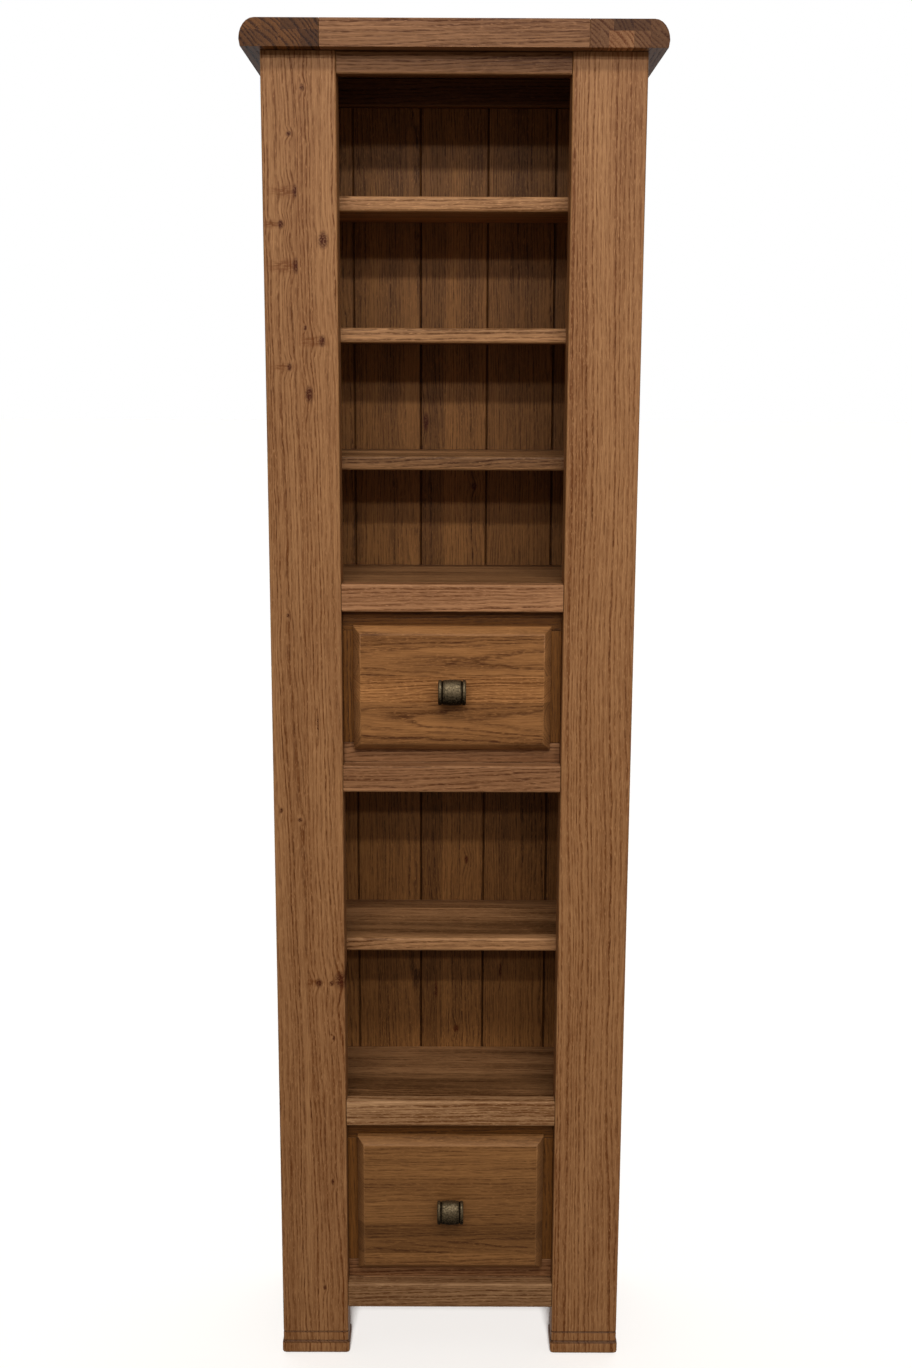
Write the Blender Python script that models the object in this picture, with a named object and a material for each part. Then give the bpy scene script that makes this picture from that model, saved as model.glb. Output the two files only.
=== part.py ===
"""Tall oak disc rack: four short bays, a drawer, two tall bays and a second drawer.

All sizes are in metres. In the rack's own frame X runs to the right, Y runs back from the
front faces of the posts and Z runs up from the floor.
"""
import math

import bmesh
import bpy

# Overall sizes
TOTAL_HEIGHT = 1.900
FACE_WIDTH = 0.502
CARCASS_DEPTH = 0.2345
CLEARANCE = 0.0003
EASED_ANGLE = math.radians(50)
SHARP_ANGLE = math.radians(40)
MERGE_DISTANCE = 0.000001

# Top: a long-grain panel between two end cleats
TOP_THICKNESS = 0.035
TOP_OVERHANG = 0.024
TOP_CLEAT_WIDTH = 0.1025
TOP_ROUND_WIDTH = 0.020
TOP_ROUND_HEIGHT = 0.026
TOP_ROUND_STEPS = 6
TOP_END_TAPER = 0.0015

# Posts and their carved feet
POST_WIDTH = 0.098
POST_DEPTH = 0.048
REAR_POST_WIDTH = 0.045
POST_CORNER_RADIUS = 0.0025
POST_CORNER_STEPS = 2
FOOT_ROUND = 0.005
FOOT_ROUND_STEPS = 3
FOOT_BULGE = 0.0015
FOOT_GROOVE_LOW = 0.0204
FOOT_GROOVE_HIGH = 0.0356
FOOT_GROOVE_WIDTH = 0.003
FOOT_GROOVE_DEPTH = 0.0015

# Rails between the front posts, and the heights that they set
LEG_HEIGHT = 0.0758
RAIL_HEIGHT = 0.0385
RAIL_THICKNESS = 0.021
RAIL_SETBACK = 0.001
RAIL_ROUND = 0.003
RAIL_ROUND_STEPS = 3
TOP_RAIL_HEIGHT = 0.029
TENON_LENGTH = 0.025
TENON_WIDTH = 0.008
TENON_SHOULDER = 0.006
LOWER_DRAWER_HEIGHT = 0.2556
TALL_BAYS_HEIGHT = 0.4683
UPPER_DRAWER_HEIGHT = 0.2181
SHORT_BAY_COUNT = 4
TOP_BAY_EXTRA = 0.0036

# Shelves and floors, housed in the side panels
BOARD_THICKNESS = 0.020
TALL_SHELF_DROP = 0.0038
HOUSING_DEPTH = 0.006
SHELF_GAP_BEHIND_POST = 0.001
SHELF_NOSE_ROUND = 0.004
SHELF_NOSE_STEPS = 4
TALL_FLOOR_DROP = 0.0113
SIDE_PANEL_THICKNESS = 0.018
SIDE_PANEL_INSET = 0.006

# Back: tongued boards in a rebate, nailed to two rails
BACK_BOARD_THICKNESS = 0.012
BACK_BOARD_PITCH = 0.0975
BACK_BOARD_COUNT = 5
BACK_BOARD_SHIFT = 0.001
BACK_REBATE_LIP = 0.012
BACK_JOINT_CHAMFER = 0.0018
TONGUE_WIDTH = 0.004
TONGUE_LENGTH = 0.005
BACK_RAIL_HEIGHT = 0.039
BACK_RAIL_THICKNESS = 0.018

# Frame inside each drawer opening, which the drawer front laps over
BORDER_THICKNESS = 0.018
BORDER_SHOWN_SIDE = 0.0153
BORDER_SHOWN_END = 0.0215
BORDER_EASE = 0.00075
FRONT_LAP = 0.007

# Drawers
FRONT_THICKNESS = 0.020
FRONT_GAP = 0.0009
FRONT_LIP = 0.0095
FRONT_BEVEL_WIDTH = 0.009
FRONT_ROUND = 0.004
FRONT_ROUND_STEPS = 3
BOX_SIDE_GAP = 0.0015
BOX_HEIGHT_GAP = 0.001
BOX_WALL = 0.012
BOX_BACK_GAP = 0.012
BOX_BOTTOM_THICKNESS = 0.006
BOX_BOTTOM_RAISE = 0.008
BOX_GROOVE_DEPTH = 0.005
RUNNER_LEDGE = 0.017
RUNNER_GUIDE_HEIGHT = 0.025

# Knobs, each held by a bolt through the drawer front
KNOB_LENGTH = 0.0385
KNOB_HEIGHT = 0.037
KNOB_DEPTH = 0.028
KNOB_PROJECTION = 0.033
KNOB_CROWN = 0.0012
KNOB_RIM_WIDTH = 0.0042
KNOB_RIM_ROUND = 0.0012
KNOB_GROOVE_WIDTH = 0.0018
KNOB_GROOVE_DEPTH = 0.0013
KNOB_NECK_RADIUS = 0.008
KNOB_STEPS = 28
CROWN_STEPS = 3
BOLT_RADIUS = 0.002
BOLT_HEAD_RADIUS = 0.0045
BOLT_HEAD_HEIGHT = 0.003
BOLT_GRIP = 0.009
BOLT_STEPS = 16

# Widths and depths worked out from the sizes above
FACE_HALF = FACE_WIDTH / 2
OPENING_HALF = FACE_HALF - POST_WIDTH
REAR_OPENING_HALF = FACE_HALF - REAR_POST_WIDTH
SIDE_OUTER = FACE_HALF - SIDE_PANEL_INSET
SIDE_INNER = SIDE_OUTER - SIDE_PANEL_THICKNESS
BOARD_HALF = SIDE_INNER + HOUSING_DEPTH - CLEARANCE
BACK_FRONT = CARCASS_DEPTH - BACK_BOARD_THICKNESS
REAR_POST_FRONT = CARCASS_DEPTH - POST_DEPTH
RAIL_BACK = RAIL_SETBACK + RAIL_THICKNESS
BORDER_FRONT = RAIL_BACK + CLEARANCE
BORDER_BACK = BORDER_FRONT + BORDER_THICKNESS
FRONT_BACK = BORDER_FRONT - FRONT_GAP
FRONT_FACE = FRONT_BACK - FRONT_THICKNESS
BORDER_OPENING_HALF = OPENING_HALF - BORDER_SHOWN_SIDE - FRONT_LAP
BOX_HALF = BORDER_OPENING_HALF - BOX_SIDE_GAP

# Heights worked out from the sizes above
TOP_LOW = TOTAL_HEIGHT - TOP_THICKNESS
LOWER_DRAWER_LOW = LEG_HEIGHT + RAIL_HEIGHT
LOWER_DRAWER_HIGH = LOWER_DRAWER_LOW + LOWER_DRAWER_HEIGHT
TALL_BAYS_LOW = LOWER_DRAWER_HIGH + RAIL_HEIGHT
TALL_BAYS_HIGH = TALL_BAYS_LOW + TALL_BAYS_HEIGHT
UPPER_DRAWER_LOW = TALL_BAYS_HIGH + RAIL_HEIGHT
UPPER_DRAWER_HIGH = UPPER_DRAWER_LOW + UPPER_DRAWER_HEIGHT
SHORT_BAYS_LOW = UPPER_DRAWER_HIGH + RAIL_HEIGHT
SHORT_BAY_PITCH = (TOP_LOW - SHORT_BAYS_LOW - TOP_BAY_EXTRA) / SHORT_BAY_COUNT
TALL_FLOOR_TOP = TALL_BAYS_LOW - TALL_FLOOR_DROP
TALL_SHELF_TOP = (TALL_FLOOR_TOP + TALL_BAYS_HIGH + BOARD_THICKNESS) / 2 - TALL_SHELF_DROP
SHORT_SHELF_TOPS = [SHORT_BAYS_LOW + SHORT_BAY_PITCH * step for step in range(1, SHORT_BAY_COUNT)]
BOARD_TOPS = [LOWER_DRAWER_LOW, TALL_FLOOR_TOP, TALL_SHELF_TOP, UPPER_DRAWER_LOW, SHORT_BAYS_LOW]
BOARD_TOPS = BOARD_TOPS + SHORT_SHELF_TOPS

# The rack's origin is under the middle of everything, knobs and feet included
FRONT_MOST = min(-TOP_OVERHANG, FRONT_FACE - KNOB_PROJECTION)
BACK_MOST = CARCASS_DEPTH + FOOT_BULGE
RACK_SHIFT = -(FRONT_MOST + BACK_MOST) / 2

SIDES = (("left", -1), ("right", 1))


def linear(hex_colour):
    """Linear red, green, blue and alpha of an sRGB colour such as 8a5f3c."""
    channels = []
    for start in (0, 2, 4):
        value = int(hex_colour[start:start + 2], 16) / 255
        channels.append(value / 12.92 if value <= 0.04045 else ((value + 0.055) / 1.055) ** 2.4)
    return (*channels, 1.0)


def make_material(name, hex_colour, roughness, metallic=0.0):
    """A Principled material in one colour."""
    material = bpy.data.materials.new(name)
    material.use_nodes = True
    shader = material.node_tree.nodes["Principled BSDF"]
    shader.inputs["Base Color"].default_value = linear(hex_colour)
    shader.inputs["Roughness"].default_value = roughness
    shader.inputs["Metallic"].default_value = metallic
    return material


def make_empty(name, location, parent=None):
    """A bare point that carries other objects."""
    empty = bpy.data.objects.new(name, None)
    empty.location = location
    empty.parent = parent
    bpy.context.scene.collection.objects.link(empty)
    return empty


def add_piece(name, mesh, material, parent, location, rotation=(0, 0, 0)):
    """One named object from a finished bmesh."""
    bmesh.ops.recalc_face_normals(mesh, faces=mesh.faces)
    data = bpy.data.meshes.new(name)
    mesh.to_mesh(data)
    mesh.free()
    data.materials.append(material)
    piece = bpy.data.objects.new(name, data)
    piece.location = location
    piece.rotation_euler = rotation
    piece.parent = parent
    bpy.context.scene.collection.objects.link(piece)
    return piece


def ease_edges(piece, width):
    """Take off every sharp edge of a piece with a small flat."""
    bevel = piece.modifiers.new("eased edges", "BEVEL")
    bevel.width = width
    bevel.segments = 1
    bevel.limit_method = "ANGLE"
    bevel.angle_limit = EASED_ANGLE


def round_edges(piece, radius, steps, front=None):
    """Round off the edges of a piece that run along X, or only those at its front."""
    mesh = bmesh.new()
    mesh.from_mesh(piece.data)
    edges = []
    for edge in mesh.edges:
        start, end = (vert.co for vert in edge.verts)
        runs_along_x = abs(start.y - end.y) < CLEARANCE and abs(start.z - end.z) < CLEARANCE
        if runs_along_x and (front is None or abs(start.y - front) < CLEARANCE):
            edges.append(edge)
    bmesh.ops.bevel(mesh, geom=edges, offset=radius, segments=steps, profile=0.5, affect="EDGES")
    mesh.to_mesh(piece.data)
    mesh.free()


def combine(piece, other, operation):
    """Cut another object out of a piece, or join it on; the other object is only a guide."""
    other.hide_render = True
    other.display_type = "WIRE"
    boolean = piece.modifiers.new(other.name, "BOOLEAN")
    boolean.object = other
    boolean.operation = operation


def smooth(piece):
    """Shade a round piece smooth, keeping its sharp edges."""
    piece.data.shade_smooth()
    piece.data.set_sharp_from_angle(angle=SHARP_ANGLE)


def box_mesh(low, high):
    """A box between two corners, centred on the origin."""
    mesh = bmesh.new()
    bmesh.ops.create_cube(mesh, size=1)
    size = [top - bottom for bottom, top in zip(low, high)]
    bmesh.ops.scale(mesh, verts=mesh.verts, vec=size)
    return mesh


def add_box(name, low, high, material, parent):
    """A straight board between two corners, with its origin at its middle."""
    middle = [(bottom + top) / 2 for bottom, top in zip(low, high)]
    return add_piece(name, box_mesh(low, high), material, parent, middle)


def prism(outline, length, along):
    """A straight bar that draws an outline out: of (X, Y) points along Z, or of (X, Z) points along Y."""
    mesh = bmesh.new()
    if along == "Z":
        corners = [(u, v, 0) for u, v in outline]
        path = (0, 0, length)
    else:
        corners = [(u, 0, v) for u, v in outline]
        path = (0, length, 0)
    face = mesh.faces.new([mesh.verts.new(corner) for corner in corners])
    grown = bmesh.ops.extrude_face_region(mesh, geom=[face])
    moved = [item for item in grown["geom"] if isinstance(item, bmesh.types.BMVert)]
    bmesh.ops.translate(mesh, verts=moved, vec=path)
    return mesh


def rectangle_ring(half_width, half_depth, height, radius=0.0, steps=1):
    """Points round a level rectangle, whose corners may be rounded."""
    ring = []
    for corner, (sign_x, sign_y) in enumerate(((1, 1), (-1, 1), (-1, -1), (1, -1))):
        centre_x = sign_x * (half_width - radius)
        centre_y = sign_y * (half_depth - radius)
        if radius == 0:
            ring.append((centre_x, centre_y, height))
            continue
        for step in range(steps + 1):
            angle = math.radians(90 * (corner + step / steps))
            x = centre_x + radius * math.cos(angle)
            y = centre_y + radius * math.sin(angle)
            ring.append((x, y, height))
    return ring


def loft(rings):
    """A closed shape through a stack of rings."""
    mesh = bmesh.new()
    edge_loops = []
    for ring in rings:
        corners = [mesh.verts.new(point) for point in ring]
        edge_loops.append([mesh.edges.new((corners[i - 1], corners[i])) for i in range(len(corners))])
    for lower, upper in zip(edge_loops, edge_loops[1:]):
        bmesh.ops.bridge_loops(mesh, edges=lower + upper)
    for ends in (edge_loops[0], edge_loops[-1]):
        bmesh.ops.contextual_create(mesh, geom=ends)
    return mesh


def turned(profile, steps):
    """A solid turned about Z from (radius, height) points that start and end on the axis."""
    mesh = bmesh.new()
    points = [mesh.verts.new((radius, 0, height)) for radius, height in profile]
    edges = [mesh.edges.new(pair) for pair in zip(points, points[1:])]
    bmesh.ops.spin(mesh, geom=points + edges, cent=(0, 0, 0), axis=(0, 0, 1), angle=math.tau,
                   steps=steps, use_merge=True)
    bmesh.ops.remove_doubles(mesh, verts=mesh.verts, dist=MERGE_DISTANCE)
    return mesh


def build_top(oak, rack):
    """The long-grain panel and the two cleats across its ends."""
    depth = CARCASS_DEPTH + TOP_OVERHANG
    half = FACE_HALF + TOP_OVERHANG
    panel_half = half - TOP_CLEAT_WIDTH
    low = (-panel_half, -TOP_OVERHANG, TOP_LOW)
    high = (panel_half, CARCASS_DEPTH, TOTAL_HEIGHT)
    add_box("top_panel", low, high, oak, rack)
    width = TOP_CLEAT_WIDTH - CLEARANCE
    outline = [(0, 0), (width - TOP_END_TAPER, 0)]
    for step in range(TOP_ROUND_STEPS + 1):
        angle = math.radians(90 * step / TOP_ROUND_STEPS)
        x = width - TOP_ROUND_WIDTH * (1 - math.cos(angle))
        z = TOP_THICKNESS - TOP_ROUND_HEIGHT * (1 - math.sin(angle))
        outline.append((x, z))
    outline.append((0, TOP_THICKNESS))
    for side, sign in SIDES:
        mirrored = [(sign * x, z) for x, z in outline]
        place = (sign * (panel_half + CLEARANCE), -TOP_OVERHANG, TOP_LOW)
        add_piece("top_cleat_" + side, prism(mirrored, depth, "Y"), oak, rack, place)


def post_mesh(width, depth):
    """A square post whose foot is rounded under and has two carved grooves."""
    levels = []
    for step in range(FOOT_ROUND_STEPS + 1):
        angle = math.radians(90 * step / FOOT_ROUND_STEPS)
        levels.append((FOOT_ROUND * (1 - math.cos(angle)), FOOT_BULGE - FOOT_ROUND * (1 - math.sin(angle))))
    levels.append((FOOT_GROOVE_LOW - FOOT_GROOVE_WIDTH, FOOT_BULGE))
    for groove in (FOOT_GROOVE_LOW, FOOT_GROOVE_HIGH):
        levels.append((groove - FOOT_GROOVE_WIDTH / 2, 0))
        levels.append((groove, -FOOT_GROOVE_DEPTH))
        levels.append((groove + FOOT_GROOVE_WIDTH / 2, 0))
    levels.append((TOP_LOW - CLEARANCE, 0))
    rings = []
    for height, swell in levels:
        ring = rectangle_ring(width / 2 + swell, depth / 2 + swell, height,
                              POST_CORNER_RADIUS, POST_CORNER_STEPS)
        rings.append(ring)
    return loft(rings)


def build_posts(oak, rack):
    """Front posts, and rear posts with a rebate for the back boards, by name."""
    posts = {}
    for side, sign in SIDES:
        name = "front_post_" + side
        place = (sign * (FACE_HALF - POST_WIDTH / 2), POST_DEPTH / 2, 0)
        posts[name] = add_piece(name, post_mesh(POST_WIDTH, POST_DEPTH), oak, rack, place)
        name = "rear_post_" + side
        place = (sign * (FACE_HALF - REAR_POST_WIDTH / 2), CARCASS_DEPTH - POST_DEPTH / 2, 0)
        posts[name] = add_piece(name, post_mesh(REAR_POST_WIDTH, POST_DEPTH), oak, rack, place)
        beyond = REAR_POST_WIDTH
        edges = sorted((sign * (REAR_OPENING_HALF - beyond), sign * (FACE_HALF - BACK_REBATE_LIP)))
        low = (edges[0], BACK_FRONT, LEG_HEIGHT - CLEARANCE)
        high = (edges[1], CARCASS_DEPTH + beyond, TOTAL_HEIGHT)
        cutter = add_box("rebate_cutter_" + side, low, high, oak, rack)
        combine(posts[name], cutter, "DIFFERENCE")
    return posts


def add_rail(name, low, high, posts, oak, rack):
    """A rail between two posts, with a tenon at each end that fits a mortise in the post."""
    rail = add_box(name, low, high, oak, rack)
    round_edges(rail, RAIL_ROUND, RAIL_ROUND_STEPS)
    middle = (low[1] + high[1]) / 2
    tenon_low = (low[0] - TENON_LENGTH, middle - TENON_WIDTH / 2, low[2] + TENON_SHOULDER)
    tenon_high = (high[0] + TENON_LENGTH, middle + TENON_WIDTH / 2, high[2] - TENON_SHOULDER)
    combine(rail, add_box(name + "_tenons", tenon_low, tenon_high, oak, rack), "UNION")
    mortise_low = [value - CLEARANCE for value in tenon_low]
    mortise_high = [value + CLEARANCE for value in tenon_high]
    mortises = add_box(name + "_mortises", mortise_low, mortise_high, oak, rack)
    for post in posts:
        combine(post, mortises, "DIFFERENCE")


def build_rails(posts, oak, rack):
    """The rails across the front, from the feet up, and the two that carry the back boards."""
    half = OPENING_HALF - CLEARANCE
    lows = {
        "bottom_rail": LEG_HEIGHT,
        "lower_middle_rail": LOWER_DRAWER_HIGH,
        "upper_middle_rail": TALL_BAYS_HIGH,
        "upper_rail": UPPER_DRAWER_HIGH,
    }
    spans = {name: (low, low + RAIL_HEIGHT) for name, low in lows.items()}
    spans["top_rail"] = (TOP_LOW - TOP_RAIL_HEIGHT, TOP_LOW - CLEARANCE)
    ends = (posts["front_post_left"], posts["front_post_right"])
    for name, (bottom, top) in spans.items():
        add_rail(name, (-half, RAIL_SETBACK, bottom), (half, RAIL_BACK, top), ends, oak, rack)
    half = REAR_OPENING_HALF - CLEARANCE
    back = BACK_FRONT - CLEARANCE
    front = back - BACK_RAIL_THICKNESS
    spans = {
        "back_top_rail": (TOP_LOW - BACK_RAIL_HEIGHT, TOP_LOW - CLEARANCE),
        "back_bottom_rail": (LEG_HEIGHT, LOWER_DRAWER_LOW - BOARD_THICKNESS - CLEARANCE),
    }
    ends = (posts["rear_post_left"], posts["rear_post_right"])
    for name, (bottom, top) in spans.items():
        add_rail(name, (-half, front, bottom), (half, back, top), ends, oak, rack)


def build_sides(oak, rack):
    """Side panels with a housing for the end of each shelf and floor."""
    bottom = LEG_HEIGHT
    top = TOP_LOW - CLEARANCE
    front = POST_DEPTH + CLEARANCE
    length = REAR_POST_FRONT - CLEARANCE - front
    outline = [(SIDE_OUTER, top), (SIDE_OUTER, bottom), (SIDE_INNER, bottom)]
    for board_top in sorted(BOARD_TOPS):
        groove_low = board_top - BOARD_THICKNESS - CLEARANCE
        groove_high = board_top + CLEARANCE
        outline.append((SIDE_INNER, groove_low))
        outline.append((SIDE_INNER + HOUSING_DEPTH, groove_low))
        outline.append((SIDE_INNER + HOUSING_DEPTH, groove_high))
        outline.append((SIDE_INNER, groove_high))
    outline.append((SIDE_INNER, top))
    for side, sign in SIDES:
        shape = [(sign * (x - SIDE_OUTER), z - bottom) for x, z in outline]
        place = (sign * SIDE_OUTER, front, bottom)
        add_piece("side_panel_" + side, prism(shape, length, "Y"), oak, rack, place)


def board_outline(front):
    """Right half of a shelf or floor seen from above, cut round the posts it passes."""
    notch_x = REAR_OPENING_HALF - CLEARANCE
    notch_y = REAR_POST_FRONT - CLEARANCE
    back = BACK_FRONT - CLEARANCE
    behind_post = POST_DEPTH + SHELF_GAP_BEHIND_POST
    half = []
    if front < POST_DEPTH:
        half.append((OPENING_HALF - CLEARANCE, front))
        half.append((OPENING_HALF - CLEARANCE, behind_post))
    half.append((BOARD_HALF, max(front, behind_post)))
    half.append((BOARD_HALF, notch_y))
    half.append((notch_x, notch_y))
    half.append((notch_x, back))
    return half


def add_board(name, top, front, oak, rack):
    """A level board that fits between the sides, from a given front edge to the back."""
    half = board_outline(front)
    outline = half + [(-x, y) for x, y in reversed(half)]
    return add_piece(name, prism(outline, BOARD_THICKNESS, "Z"), oak, rack, (0, 0, top - BOARD_THICKNESS))


def build_shelves(oak, rack):
    """Shelves with a rounded nose, the floors over the drawers and the boards under them."""
    shelf_front = POST_DEPTH + SHELF_GAP_BEHIND_POST
    tops = {"shelf_%d" % (step + 1): top for step, top in enumerate(reversed(SHORT_SHELF_TOPS))}
    tops["tall_bay_shelf"] = TALL_SHELF_TOP
    for name, top in tops.items():
        shelf = add_board(name, top, shelf_front, oak, rack)
        round_edges(shelf, SHELF_NOSE_ROUND, SHELF_NOSE_STEPS, shelf_front)
    floors = {
        "short_bay_floor": SHORT_BAYS_LOW,
        "upper_drawer_board": UPPER_DRAWER_LOW,
        "tall_bay_floor": TALL_FLOOR_TOP,
        "lower_drawer_board": LOWER_DRAWER_LOW,
    }
    for name, top in floors.items():
        add_board(name, top, BORDER_FRONT, oak, rack)


def back_board_outline(left, right, has_groove, has_tongue):
    """Section of one back board: chamfered joints, a groove on its left, a tongue on its right."""
    middle = BACK_BOARD_THICKNESS / 2
    tongue = TONGUE_WIDTH / 2
    groove = tongue + CLEARANCE
    groove_end = left + TONGUE_LENGTH + CLEARANCE
    outline = [(left + BACK_JOINT_CHAMFER, 0), (right - BACK_JOINT_CHAMFER, 0), (right, BACK_JOINT_CHAMFER)]
    if has_tongue:
        outline.append((right, middle - tongue))
        outline.append((right + TONGUE_LENGTH, middle - tongue))
        outline.append((right + TONGUE_LENGTH, middle + tongue))
        outline.append((right, middle + tongue))
    outline.append((right, BACK_BOARD_THICKNESS))
    outline.append((left, BACK_BOARD_THICKNESS))
    if has_groove:
        outline.append((left, middle + groove))
        outline.append((groove_end, middle + groove))
        outline.append((groove_end, middle - groove))
        outline.append((left, middle - groove))
    outline.append((left, BACK_JOINT_CHAMFER))
    return outline


def build_back(oak, rack):
    """Tongued boards side by side across the back."""
    limit = FACE_HALF - BACK_REBATE_LIP - CLEARANCE
    joints = [BACK_BOARD_SHIFT + BACK_BOARD_PITCH * (step - BACK_BOARD_COUNT / 2)
              for step in range(1, BACK_BOARD_COUNT)]
    edges = [-limit] + joints + [limit]
    length = TOP_LOW - CLEARANCE - LEG_HEIGHT
    for step in range(BACK_BOARD_COUNT):
        left = edges[step]
        right = edges[step + 1]
        has_tongue = step < BACK_BOARD_COUNT - 1
        if has_tongue:
            right -= CLEARANCE
        outline = back_board_outline(0, right - left, step > 0, has_tongue)
        place = (left, BACK_FRONT, LEG_HEIGHT)
        add_piece("back_board_%d" % (step + 1), prism(outline, length, "Z"), oak, rack, place)


def build_border(name, low, high, board_top, floor_low, oak, rack):
    """The four strips that frame a drawer opening behind the rails."""
    half = OPENING_HALF - CLEARANCE
    opening_low = low + BORDER_SHOWN_END + FRONT_LAP
    opening_high = high - BORDER_SHOWN_END - FRONT_LAP
    corners = {
        "bottom": ((-half, board_top + CLEARANCE), (half, opening_low)),
        "top": ((-half, opening_high), (half, floor_low - CLEARANCE)),
        "left": ((-half, opening_low + CLEARANCE), (-BORDER_OPENING_HALF, opening_high - CLEARANCE)),
        "right": ((BORDER_OPENING_HALF, opening_low + CLEARANCE), (half, opening_high - CLEARANCE)),
    }
    for place, ((left, bottom), (right, top)) in corners.items():
        near = (left, BORDER_FRONT, bottom)
        far = (right, BORDER_BACK, top)
        strip = add_box("%s_border_%s" % (name, place), near, far, oak, rack)
        ease_edges(strip, BORDER_EASE)


def build_runners(name, board_top, box_low, oak, rack):
    """L-shaped runners that carry and guide the two sides of a drawer."""
    bottom = board_top + CLEARANCE
    ledge = box_low - CLEARANCE
    inner = BOX_HALF - RUNNER_LEDGE
    guide = BOX_HALF + BOX_SIDE_GAP
    outer = OPENING_HALF - CLEARANCE
    top = box_low + RUNNER_GUIDE_HEIGHT
    outline = [(inner, bottom), (outer, bottom), (outer, top), (guide, top), (guide, ledge), (inner, ledge)]
    front = BORDER_BACK + CLEARANCE
    length = BACK_FRONT - CLEARANCE - front
    for side, sign in SIDES:
        shape = [(sign * x, z - bottom) for x, z in outline]
        bar = prism(shape, length, "Y")
        add_piece("%s_runner_%s" % (name, side), bar, oak, rack, (0, front, bottom))


def build_front(name, height, centre, oak, drawer):
    """The bevelled slab that closes a drawer, drawn lying down and then turned up to face forward."""
    half_width = OPENING_HALF - BORDER_SHOWN_SIDE
    half_height = height / 2
    slope = math.atan2(FRONT_BEVEL_WIDTH, FRONT_THICKNESS - FRONT_LIP)
    insets = [(0, 0), (FRONT_LIP, 0)]
    for step in range(FRONT_ROUND_STEPS + 1):
        angle = slope + (math.pi / 2 - slope) * step / FRONT_ROUND_STEPS
        out = FRONT_THICKNESS - FRONT_ROUND * (1 - math.sin(angle))
        insets.append((out, FRONT_BEVEL_WIDTH + FRONT_ROUND * (math.cos(slope) - math.cos(angle))))
    rings = [rectangle_ring(half_width - inset, half_height - inset, out) for out, inset in insets]
    place = (0, FRONT_BACK, centre)
    return add_piece(name + "_front", loft(rings), oak, drawer, place, (math.pi / 2, 0, 0))


def build_box(name, low, high, oak, drawer):
    """A drawer box; its bottom slides into grooves in the sides, behind its front and under its back."""
    front = FRONT_BACK + CLEARANCE
    back = BACK_FRONT - BOX_BACK_GAP
    inner = BOX_HALF - BOX_WALL
    groove = inner + BOX_GROOVE_DEPTH
    groove_low = low + BOX_BOTTOM_RAISE
    groove_high = groove_low + BOX_BOTTOM_THICKNESS + 2 * CLEARANCE
    outline = [(BOX_HALF, high), (BOX_HALF, low), (inner, low), (inner, groove_low), (groove, groove_low)]
    outline += [(groove, groove_high), (inner, groove_high), (inner, high)]
    for side, sign in SIDES:
        shape = [(sign * x, z - low) for x, z in outline]
        add_piece("%s_side_%s" % (name, side), prism(shape, back - front, "Y"), oak, drawer, (0, front, low))
    half = inner - CLEARANCE
    box_front = add_box(name + "_box_front", (-half, front, low), (half, front + BOX_WALL, high), oak, drawer)
    add_box(name + "_back", (-half, back - BOX_WALL, groove_high), (half, back, high), oak, drawer)
    half = groove - CLEARANCE
    bottom = (-half, front + BOX_WALL + CLEARANCE, groove_low + CLEARANCE)
    add_box(name + "_bottom", bottom, (half, back, groove_high - CLEARANCE), oak, drawer)
    return box_front


def knob_profile():
    """Half-round barrel from end to end: rim, groove, crowned band, groove, rim."""
    half = KNOB_LENGTH / 2
    radius = KNOB_HEIGHT / 2
    band = half - KNOB_RIM_WIDTH - KNOB_GROOVE_WIDTH
    edge = radius - KNOB_CROWN
    right = []
    for step in range(CROWN_STEPS + 1):
        share = step / CROWN_STEPS
        right.append((radius - KNOB_CROWN * share ** 2, band * share))
    right.append((edge - KNOB_GROOVE_DEPTH, band + KNOB_GROOVE_WIDTH / 2))
    right.append((edge, band + KNOB_GROOVE_WIDTH))
    right.append((edge, half - KNOB_RIM_ROUND))
    right.append((edge - KNOB_RIM_ROUND, half))
    right.append((0, half))
    left = [(reach, -along) for reach, along in reversed(right)]
    return left + right[1:]


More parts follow.
